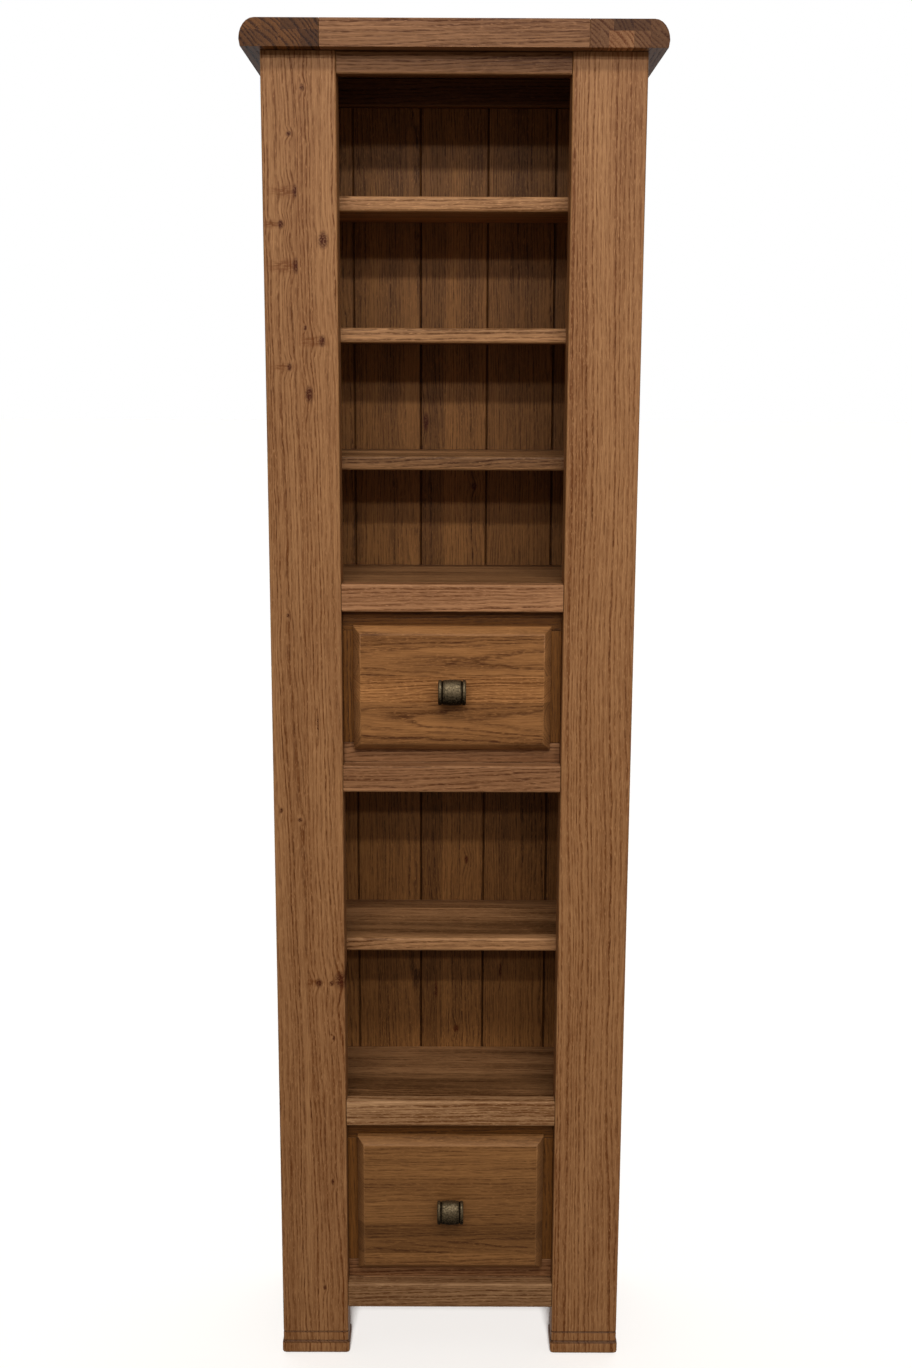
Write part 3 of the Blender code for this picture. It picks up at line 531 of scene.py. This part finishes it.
# The back boards are coloured darker than the front oak: painted shade of the bays, which the lamps reach
# less
back_wood_with_painted_shade = oak("waxed oak back", "z", "#a6713d", "#4e2d13", "#2c1808", BACK_KNOTS, ring_width=BACK_RINGS,
               lines=0.6, drift=0.45)
front_oaks = {
    "upper_drawer": oak("waxed oak upper front", "x", "#b87f4a", "#633a16", flecks=0.3, drift=0.6),
    "lower_drawer": oak("waxed oak lower front", "x", "#ab7846", "#5c3616", flecks=0.2, lines=0.5, drift=0.5),
}
box_oaks = {axis: oak("planed oak box " + axis, axis, "#c09a6c", "#a07a4c", "#6d4c2b", roughness=0.55)
            for axis in "xyz"}
print("oak finishes:", len(bpy.data.materials) - 1)

# %% [markdown]
# ## Dressing a board
# A CAD board has the right size and joints, but its arrises are dead sharp and its mesh is loose triangles.
# It could be bevelled by a modifier, but then no face would know that it is a worn edge. So a copy is merged,
# cut where its staves meet, eased along its sharp edges with the bevel operator, and every face is told three
# things that the finish reads: its place in the log, its shade and its wear.

# %% Placing a piece
SHARP_EDGE = math.radians(50)


def place_piece(bm, name, finishes, body):
    """Turns a finished bmesh into a smooth piece that rides on a body."""
    bmesh.ops.recalc_face_normals(bm, faces=bm.faces)
    for face in bm.faces:
        face.smooth = True
    for edge in bm.edges:
        edge.smooth = edge.calc_face_angle(0.0) < SHARP_EDGE
    mesh = bpy.data.meshes.new(name)
    bm.to_mesh(mesh)
    bm.free()
    for finish in finishes:
        mesh.materials.append(finish)
    piece = bpy.data.objects.new(name, mesh)
    scene.collection.objects.link(piece)
    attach(piece, body)
    return piece


print("edges over", round(math.degrees(SHARP_EDGE)), "degrees stay sharp")

# %% Cutting a board
FLAT_ANGLE = math.radians(0.5)
MERGE_DISTANCE = 0.000001
EDGE_EASE = 0.0007
AXES = {"x": Vector((1, 0, 0)), "y": Vector((0, 1, 0)), "z": Vector((0, 0, 1))}


def cut_board(name, cuts, ease):
    """A copy of a CAD board, cut where its staves meet and eased along its sharp edges."""
    bm = bmesh.new()
    bm.from_mesh(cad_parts[name].data)
    bmesh.ops.remove_doubles(bm, verts=bm.verts, dist=MERGE_DISTANCE)
    bmesh.ops.dissolve_limit(bm, angle_limit=FLAT_ANGLE, verts=bm.verts, edges=bm.edges)
    for axis, place in cuts:
        bmesh.ops.bisect_plane(bm, geom=bm.verts[:] + bm.edges[:] + bm.faces[:], dist=MERGE_DISTANCE,
                               plane_co=AXES[axis] * place, plane_no=AXES[axis])
    if ease:
        sharp = [edge for edge in bm.edges if edge.is_convex and edge.calc_face_angle(0.0) > SHARP_EDGE]
        bmesh.ops.bevel(bm, geom=sharp, offset=ease, offset_type="OFFSET", affect="EDGES", segments=2,
                        profile=0.5, material=-1, clamp_overlap=True)
    return bm


print("boards are eased by", 1000 * EDGE_EASE, "mm")

# %% Staves and wear
PITH_SPREAD = 0.015
HALF_LOG = 3.0
WORN_SLANT = 0.985
GROOVE_SHADE = -0.55


def log_place(name, stave, grain, centre, pith):
    """Moves the centre of a stave to its own place in a log, with the pith at about a given distance."""
    draw = random.Random(name + str(stave))
    along = draw.uniform(-HALF_LOG, HALF_LOG)
    pith = [way + draw.uniform(-PITH_SPREAD, PITH_SPREAD) for way in pith]
    turn = Euler(GRAIN_TURN[grain]).to_matrix()
    return Vector((along, *pith)) - turn @ centre


def middle_of(faces):
    """The middle of the box round some faces."""
    corners = [vert.co for face in faces for vert in face.verts]
    return Vector([(min(sides) + max(sides)) / 2 for sides in zip(*corners)])


def in_groove(face):
    """Whether a face meets one of its neighbours in a hollow."""
    return any(edge.calc_face_angle_signed(0.0) < -FLAT_ANGLE for edge in face.edges)


def mark_staves(bm, name, grain, shades, piths, stave_of, finish_count):
    """Tells every face its stave's place in the log, its shade and its finish."""
    log_layer = bm.faces.layers.float_vector.new("log")
    shade_layer = bm.faces.layers.float.new("shade")
    staves = {}
    for face in bm.faces:
        staves.setdefault(stave_of(face.calc_center_median()), []).append(face)
    for stave, faces in staves.items():
        place = log_place(name, stave, grain, middle_of(faces), piths[stave])
        for face in faces:
            face[log_layer] = place
            face[shade_layer] = shades[stave]
            face.material_index = min(stave, finish_count - 1)


def mark_wear(bm, wear, slant_stain_and_painted_light):
    """Wears the slanted faces, which are edges, paler by some share, adds a given tone to them, and keeps the
    hollows dark.

    The added tone is stain in the back boards' V joints, and painted light on the drawer fronts' bevels.
    """
    shade_layer = bm.faces.layers.float["shade"]
    wear_layer = bm.faces.layers.float.new("wear")
    for face in bm.faces:
        if max(abs(part) for part in face.normal) < WORN_SLANT:
            if in_groove(face):
                face[shade_layer] = GROOVE_SHADE
            else:
                face[shade_layer] += slant_stain_and_painted_light
                face[wear_layer] = wear


print("grooves are shaded by", GROOVE_SHADE)

# %% One function for every board
EDGE_WEAR = 0.25
FLAT_SAWN = (-0.035, 0.0)
RIFT_SAWN = (-0.06, 0.06)


def dress(name, finish, grain, body="carcass", shades=(0.0,), cuts=(), pith=RIFT_SAWN, ease=EDGE_EASE,
          stave_of=None, wear=EDGE_WEAR, slant_stain_and_painted_light=0.0):
    """A board in place of its CAD node, with one shade for each stave, and one pith or one for each stave."""
    finishes = finish if isinstance(finish, list) else [finish]
    piths = pith if isinstance(pith, list) else [pith] * len(shades)

    def stave_between_cuts(middle):
        return sum(middle.dot(AXES[axis]) > place for axis, place in cuts)

    bm = cut_board(name, cuts, ease)
    mark_staves(bm, name, grain, shades, piths, stave_of or stave_between_cuts, len(finishes))
    mark_wear(bm, wear, slant_stain_and_painted_light)
    piece = place_piece(bm, "dressed_" + name, finishes, body)
    weighted = piece.modifiers.new("flat faces stay flat", "WEIGHTED_NORMAL")
    weighted.keep_sharp = True
    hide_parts(name)
    return piece


print("a board is worn by", EDGE_WEAR, "at its edges")

# %% [markdown]
# ## Posts and rails
# Two wide posts carry the front, with rails tenoned between them. The left post is glued up from two staves
# of a knotty tree, the right one is a single clean stave. One wood for all of it would be less to write, but
# on the real rack each board stands out by its own tone, so each gets a shade and a log of its own.

# %% Posts
SIDES = ("left", "right")
POST_JOINT = -0.206
LEFT_POST_SHADES = (-0.14, -0.10)
LEFT_POST_PITH = (-0.085, 0.075)
RIGHT_POST_SHADE = -0.06
RIGHT_POST_PITH = (-0.06, 0.10)
SIDE_JOINTS = (-0.03, 0.05)
SIDE_SHADES = (0.0, -0.05, 0.04)

dress("front_post_left", knotty_oaks, "z", shades=LEFT_POST_SHADES, cuts=[("x", POST_JOINT)],
      pith=LEFT_POST_PITH)
dress("front_post_right", upright_oak, "z", shades=(RIGHT_POST_SHADE,), pith=RIGHT_POST_PITH)
for side in SIDES:
    dress("rear_post_" + side, upright_oak, "z")
    dress("side_panel_" + side, upright_oak, "z", shades=SIDE_SHADES,
          cuts=[("y", joint) for joint in SIDE_JOINTS])
print("posts and side panels dressed")

# %% Rails
# The top rail is partly darker wood and partly darkened as painted shade of the top's overhang; the back top
# rail, deep in the top bay, is darkened as painted shade
RAIL_SHADES = {
    "top_rail": -0.46,
    "upper_rail": -0.03,
    "upper_middle_rail": -0.25,
    "lower_middle_rail": 0.12,
    "bottom_rail": -0.18,
    "back_top_rail": -0.7,
    "back_bottom_rail": -0.1,
}
GREY_RAILS = ("lower_middle_rail", "bottom_rail")
for rail, shade in RAIL_SHADES.items():
    wood = grey_oak if rail in GREY_RAILS else level_oak
    dress(rail, wood, "x", shades=(shade,))
print("rails dressed:", len(RAIL_SHADES))

# %% [markdown]
# ## Top
# The top is a long-grain panel between two cleats whose grain runs front to back, so the cleats show end
# grain at the front. Two plain brown blocks would do from afar, but each cleat is glued up from two layers of
# narrow staves, so it is cut along its glue lines and every stave gets a log of its own.

# %% Top panel and cleats
LAYER_LINE = 1.8855
LAYER_STAVES = 4
TOP_EASE = 0.0004
PANEL_JOINTS = (-0.07, 0.0, 0.07)
PANEL_SHADES = (-0.4, -0.3, -0.22, -0.28, -0.25)
CLEAT_SPLITS = {
    "left": ((-0.254, -0.225, -0.196), (-0.245, -0.221, -0.202)),
    "right": ((0.197, 0.229, 0.250), (0.203, 0.228, 0.250)),
}
CLEAT_SHADES = {
    "left": (-0.2, -0.1, 0.05, -0.35, 0.1, 0.05, -0.4, -0.15),
    "right": (-0.35, 0.1, -0.35, -0.5, -0.35, -0.68, -0.6, -0.45),
}


def cut_cleat(side):
    """A cleat of two layers with four staves each."""
    low_splits, high_splits = CLEAT_SPLITS[side]

    def stave_of(middle):
        if middle.z > LAYER_LINE:
            return LAYER_STAVES + sum(middle.x > split for split in high_splits)
        return sum(middle.x > split for split in low_splits)

    cuts = [("x", place) for place in sorted(set(low_splits + high_splits))]
    return dress("top_cleat_" + side, cleat_oaks[side], "y", shades=CLEAT_SHADES[side],
                 cuts=[("z", LAYER_LINE)] + cuts, stave_of=stave_of, ease=TOP_EASE)


dress("top_panel", level_oak, "x", shades=PANEL_SHADES,
      cuts=[("z", LAYER_LINE)] + [("y", joint) for joint in PANEL_JOINTS], ease=TOP_EASE)
for side in SIDES:
    cut_cleat(side)
print("top dressed")

# %% [markdown]
# ## Shelves, floors and back
# The shelves and floors are glued up from level staves, and the shelves' round noses are worn pale. The back
# is of tongued boards that meet in small V grooves, where stain and dust gather. Each board could have a call
# of its own, but they differ only in their shades, so the shades are listed and a loop dresses them.

# %% Shelves and floors
SHELF_JOINTS = (-0.035, 0.02, 0.08)
SHELF_SHADES = {
    "shelf_1": (0.28, -0.15, 0.1, -0.1),
    "shelf_2": (0.13, -0.2, 0.05, -0.15),
    "shelf_3": (-0.32, -0.1, 0.1, -0.1),
    "tall_bay_shelf": (0.12, -0.2, 0.1, -0.1),
    "short_bay_floor": (-0.2, -0.1, -0.3, -0.15),
    "tall_bay_floor": (-0.15, -0.35, -0.1, -0.25),
    "upper_drawer_board": (0.0, -0.1, 0.05, 0.0),
    "lower_drawer_board": (0.0, 0.05, -0.1, 0.0),
}
for board, shades in SHELF_SHADES.items():
    dress(board, shelf_oak, "x", shades=shades, cuts=[("y", joint) for joint in SHELF_JOINTS])
print("shelves and floors dressed:", len(SHELF_SHADES))

# %% Back boards
GLUED_JOINT = -0.014
# A board with two shades is glued up from two staves
BACK_SHADES = {
    1: (0.05,),
    2: (0.0,),
    3: (-0.2, 0.05),
    4: (-0.08,),
    5: (-0.15,),
}
for number, shades in BACK_SHADES.items():
    cuts = [("x", GLUED_JOINT)] if len(shades) > 1 else []
    dress("back_board_" + str(number), back_wood_with_painted_shade, "z", shades=shades, cuts=cuts, wear=0.0,
          slant_stain_and_painted_light=GROOVE_SHADE)
print("back boards dressed")

# %% [markdown]
# ## Drawers
# Each drawer front is a slab of level staves, bevelled all round, with painted light on its bevels, over a
# frame of four strips in a recess, coloured darker as painted shade. A picture of the staves could be laid on
# the slab, but their joints have to run on over the bevels, so the mesh is cut at the joints. The boxes
# behind are bare planed oak, paler because nobody stained them.

# %% Drawer fronts and their borders
# The drawer fronts' bevels are made paler: painted light on slanted faces that the lamps light less than the
# face
BEVEL_PAINTED_LIGHT = 0.1
# Heights of the joints, shades of the staves from the bottom up, and how each was sawn
FRONT_STAVES = {
    "upper_drawer": ((1.006, 1.043), (-0.15, 0.3, -0.08), [FLAT_SAWN, RIFT_SAWN, FLAT_SAWN]),
    "lower_drawer": ((0.165, 0.186, 0.214, 0.243, 0.318), (-0.05, -0.25, -0.36, -0.16, -0.1, -0.04),
                     [RIFT_SAWN, FLAT_SAWN, RIFT_SAWN, RIFT_SAWN, RIFT_SAWN, RIFT_SAWN]),
}
# The borders sit in a recess behind the rails and posts: their darker colours and shades are painted shade of
# it, and the top one also holds painted shadow of the rail above
BORDER_FINISHES_IN_PAINTED_SHADE = {
    "bottom": (level_oak, "x", -0.35),
    "top": (border_woods_with_painted_shade["x"], "x", -0.15),
    "left": (border_woods_with_painted_shade["z"], "z", 0.0),
    "right": (border_woods_with_painted_shade["z"], "z", 0.0),
}
for drawer, (joints, shades, piths) in FRONT_STAVES.items():
    dress(drawer + "_front", front_oaks[drawer], "x", drawer, shades=shades, pith=piths,
          cuts=[("z", joint) for joint in joints], ease=0, slant_stain_and_painted_light=BEVEL_PAINTED_LIGHT)
    for side, (finish, grain, shade) in BORDER_FINISHES_IN_PAINTED_SHADE.items():
        dress(drawer + "_border_" + side, finish, grain, shades=(shade,), wear=0.0)
print("drawer fronts dressed")

# %% Drawer boxes and runners
for drawer in FRONT_STAVES:
    for side in SIDES:
        dress(drawer + "_side_" + side, box_oaks["y"], "y", drawer)
        dress(drawer + "_runner_" + side, box_oaks["y"], "y")
    for part in ("box_front", "back", "bottom"):
        dress(drawer + "_" + part, box_oaks["x"], "x", drawer)
print("drawer boxes dressed")

# %% [markdown]
# ## Knobs
# Each drawer has a small barrel knob of cast pewter that lies level: a pitted band with a dark groove and a
# rubbed rim at either end, on a short round neck. A cylinder primitive has no room for the grooves, so half
# an outline is spun round the barrel's axis, and the band's points are then pushed in by a smooth noise.

# %% Pewter
PIT_SIZE = 0.0022
PIT_STRENGTH = 0.5
PIT_DEPTH = 0.0004
BARE_PEWTER = linear("#84745a")
PATINA_COLOUR = linear("#241c13")


def pewter():
    """Cast pewter, darkened with patina: grey-brown on top, nearly black in the hollows, and darker towards
    the underside, where the darkening is painted shade.
    """
    material = bpy.data.materials.new("antique pewter")
    material.use_nodes = True
    tree = material.node_tree
    tree.nodes.clear()
    place = add_node(tree, "TexCoord", out="Object")
    # The hollow attribute holds the real patina of the grooves and, towards the underside, painted shade
    hollow = add_node(tree, "Attribute", out="Fac", attribute_name="hollow")
    pits = add_node(tree, "TexNoise", {"Vector": place, "Scale": 1 / PIT_SIZE, "Detail": 3.0})
    patina = add_node(tree, "MapRange", {0: pits, 1: 0.35, 2: 0.7, 3: 0.0, 4: 0.7})
    patina = add_node(tree, "Math", {0: patina, 1: hollow}, operation="ADD", use_clamp=True)
    colour = add_node(tree, "Mix", {0: patina, 6: BARE_PEWTER, 7: PATINA_COLOUR}, out=2, data_type="RGBA")
    dull = add_node(tree, "MapRange", {0: pits, 1: 0.3, 2: 0.7, 3: 0.5, 4: 0.7})
    bump = add_node(tree, "Bump", {"Height": pits, "Strength": PIT_STRENGTH, "Distance": PIT_DEPTH})
    surface = add_node(tree, "BsdfPrincipled", {"Base Color": colour, "Roughness": dull, "Normal": bump,
                                                "Metallic": 1.0})
    add_node(tree, "OutputMaterial", {"Surface": surface})
    return material


pewter_finish = pewter()
print("pewter has pits of", 1000 * PIT_SIZE, "mm")

# %% Barrel knobs
BARREL_DEPTH = 0.028
BARREL_STEPS = 72
DENT_SIZE = 0.004
DENT_DEPTH = 0.0005
# How far down the barrel's painted underside shade grows, and how dark it gets
UNDERSIDE_SHADE_REACH = 0.014
UNDERSIDE_PAINTED_SHADE = 0.75
BAND_HALF = 12.4
# Half outline of the barrel in millimetres: distance from its middle, radius, and how hollow it is there
HALF_BARREL = (
    (0.0, 18.2, 0.0),
    (3.0, 18.15, 0.0),
    (6.0, 18.0, 0.0),
    (9.0, 17.7, 0.0),
    (BAND_HALF, 17.2, 0.1),
    (12.9, 16.5, 0.9),
    (13.6, 16.1, 1.0),
    (14.3, 16.5, 0.9),
    (14.8, 17.4, 0.0),
    (16.2, 17.9, 0.0),
    (17.8, 17.7, 0.0),
    (18.9, 16.8, 0.0),
    (19.25, 15.4, 0.1),
    (18.9, 11.0, 0.4),
    (18.7, 0.0, 0.5),
)
# Neck in millimetres: distance from the drawer front, and radius
NECK = ((0.0, 0.0), (0.0, 9.0), (0.8, 9.4), (1.6, 8.4), (4.0, 7.2), (8.0, 7.6), (12.0, 9.5), (12.0, 0.0))


def spin_outline(bm, points, axis, steps=BARREL_STEPS):
    """Spins a line of points right round an axis through the origin and closes the seam."""
    verts = [bm.verts.new(point) for point in points]
    edges = [bm.edges.new(pair) for pair in zip(verts, verts[1:])]
    bmesh.ops.spin(bm, geom=verts + edges, cent=(0, 0, 0), axis=axis, angle=2 * math.pi, steps=steps,
                   use_merge=True)
    bmesh.ops.remove_doubles(bm, verts=bm.verts, dist=MERGE_DISTANCE)


def make_knob(drawer):
    """One barrel knob with its neck, where the CAD knob is."""
    low, high = (Vector(corner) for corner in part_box(drawer + "_knob"))
    middle = (low + high) / 2
    left_half = [(-x, radius, hollow) for x, radius, hollow in reversed(HALF_BARREL[1:])]
    outline = left_half + list(HALF_BARREL)
    bm = bmesh.new()
    spin_outline(bm, [(x / 1000, 0, radius / 1000) for x, radius, hollow in outline], (1, 0, 0))
    patina_and_painted_shade_layer = bm.verts.layers.float.new("hollow")
    depth_share = BARREL_DEPTH / (high.z - low.z)
    for vert in bm.verts:
        nearest = min(outline, key=lambda point: abs(point[0] / 1000 - vert.co.x)
                      + abs(point[1] / 1000 - math.hypot(vert.co.y, vert.co.z)))
        # The lower on the barrel, the darker: painted shade for its underside, kept with the real patina of
        # the grooves
        underside_share = max(0.0, -vert.co.z) / UNDERSIDE_SHADE_REACH
        vert[patina_and_painted_shade_layer] = min(1.0, nearest[2] + UNDERSIDE_PAINTED_SHADE * underside_share)
        if abs(vert.co.x) < BAND_HALF / 1000:
            dent = DENT_DEPTH * noise.noise(vert.co / DENT_SIZE)
            vert.co *= 1 - abs(dent) / vert.co.length
        vert.co.y *= depth_share
    bmesh.ops.translate(bm, verts=bm.verts, vec=(middle.x, low.y + BARREL_DEPTH / 2, middle.z))
    neck = bmesh.new()
    spin_outline(neck, [(0, -y / 1000, radius / 1000) for y, radius in NECK], (0, 1, 0))
    bmesh.ops.translate(neck, verts=neck.verts, vec=(middle.x, high.y, middle.z))
    neck_mesh = bpy.data.meshes.new("neck")
    neck.to_mesh(neck_mesh)
    neck.free()
    bm.from_mesh(neck_mesh)
    piece = place_piece(bm, drawer + "_barrel_knob", [pewter_finish], drawer)
    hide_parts(drawer + "_knob")
    return piece


for drawer in FRONT_STAVES:
    print(make_knob(drawer).name, "spun")

# %% [markdown]
# ## Bolts and pins
# A steel bolt holds each knob from inside its drawer, and the back boards are held by panel pins. The bolt's
# head has a hollow for the key and the pins have low domed heads. Both are spun from short outlines, and one
# pin head is made once and repeated, which keeps the eighty of them light.

# %% Steel
CLOUD_SIZE = 0.003
BRIGHT_ZINC = linear("#c3c5c7")
AGED_ZINC = linear("#8e8f8f")


def steel():
    """Zinc-plated steel: pale grey, brushed by handling, a little duller where the plating has aged."""
    material = bpy.data.materials.new("zinc plated steel")
    material.use_nodes = True
    tree = material.node_tree
    tree.nodes.clear()
    place = add_node(tree, "TexCoord", out="Object")
    cloud = add_node(tree, "TexNoise", {"Vector": place, "Scale": 1 / CLOUD_SIZE, "Detail": 3.0})
    colour = add_node(tree, "Mix", {0: cloud, 6: BRIGHT_ZINC, 7: AGED_ZINC}, out=2, data_type="RGBA")
    dull = add_node(tree, "MapRange", {0: cloud, 1: 0.3, 2: 0.7, 3: 0.28, 4: 0.48})
    surface = add_node(tree, "BsdfPrincipled", {"Base Color": colour, "Roughness": dull, "Metallic": 1.0})
    add_node(tree, "OutputMaterial", {"Surface": surface})
    return material


steel_finish = steel()
print("steel clouds are", 1000 * CLOUD_SIZE, "mm wide")

# %% Knob bolts
HEAD_HEIGHT = 0.0025
HEAD_CROWN = 0.75
KEY_RADIUS = 0.0022
KEY_DEPTH = 0.0014


def make_bolt(drawer):
    """The bolt of a knob: a shank, and a head with a hollow for the key, as long as the CAD bolt."""
    low, high = (Vector(corner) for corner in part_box(drawer + "_knob_bolt"))
    middle = (low + high) / 2
    head_radius = (high.x - low.x) / 2
    shank_radius = head_radius / 2
    under_head = high.y - HEAD_HEIGHT
    outline = [
        (0.0, low.y),
        (shank_radius, low.y),
        (shank_radius, under_head),
        (head_radius, under_head),
        (head_radius, high.y - HEAD_HEIGHT / 3),
        (head_radius * HEAD_CROWN, high.y),
        (KEY_RADIUS, high.y),
        (KEY_RADIUS, high.y - KEY_DEPTH),
        (0.0, high.y - KEY_DEPTH),
    ]
    bm = bmesh.new()
    spin_outline(bm, [(0, y, radius) for radius, y in outline], (0, 1, 0))
    bmesh.ops.translate(bm, verts=bm.verts, vec=(middle.x, 0, middle.z))
    piece = place_piece(bm, drawer + "_bolt", [steel_finish], drawer)
    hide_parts(drawer + "_knob_bolt")
    return piece


for drawer in FRONT_STAVES:
    print(make_bolt(drawer).name, "spun")

# %% Panel pins
PIN_RADIUS = 0.002
PIN_DOME = 0.0006
PIN_SINK = 0.0004
PIN_INSET = 0.018
PIN_STEPS = 12
# Where the dome turns over: shares of its height and of its radius
DOME_TURN = (0.7, 0.6)
PINNED_TO = ("back_top_rail", "shelf_1", "shelf_2", "shelf_3", "short_bay_floor", "tall_bay_shelf",
             "tall_bay_floor", "back_bottom_rail")


def pin_head():
    """One domed pin head at the origin that looks along Y."""
    bm = bmesh.new()
    outline = [(0, -PIN_SINK, 0), (0, -PIN_SINK, PIN_RADIUS), (0, 0, PIN_RADIUS),
               (0, PIN_DOME * DOME_TURN[0], PIN_RADIUS * DOME_TURN[1]), (0, PIN_DOME, 0)]
    spin_outline(bm, outline, (0, 1, 0), PIN_STEPS)
    mesh = bpy.data.meshes.new("pin head")
    bm.to_mesh(mesh)
    bm.free()
    return mesh


pins = bmesh.new()
one_pin = pin_head()
for number in BACK_SHADES:
    board_low, board_high = (Vector(corner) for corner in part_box("back_board_" + str(number)))
    for rail in PINNED_TO:
        rail_low, rail_high = (Vector(corner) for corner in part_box(rail))
        for x in (board_low.x + PIN_INSET, board_high.x - PIN_INSET):
            known = len(pins.verts)
            pins.from_mesh(one_pin)
            pins.verts.ensure_lookup_table()
            bmesh.ops.translate(pins, verts=pins.verts[known:],
                                vec=(x, board_high.y, (rail_low.z + rail_high.z) / 2))
print(place_piece(pins, "back_pins", [steel_finish], "carcass").name, "placed")
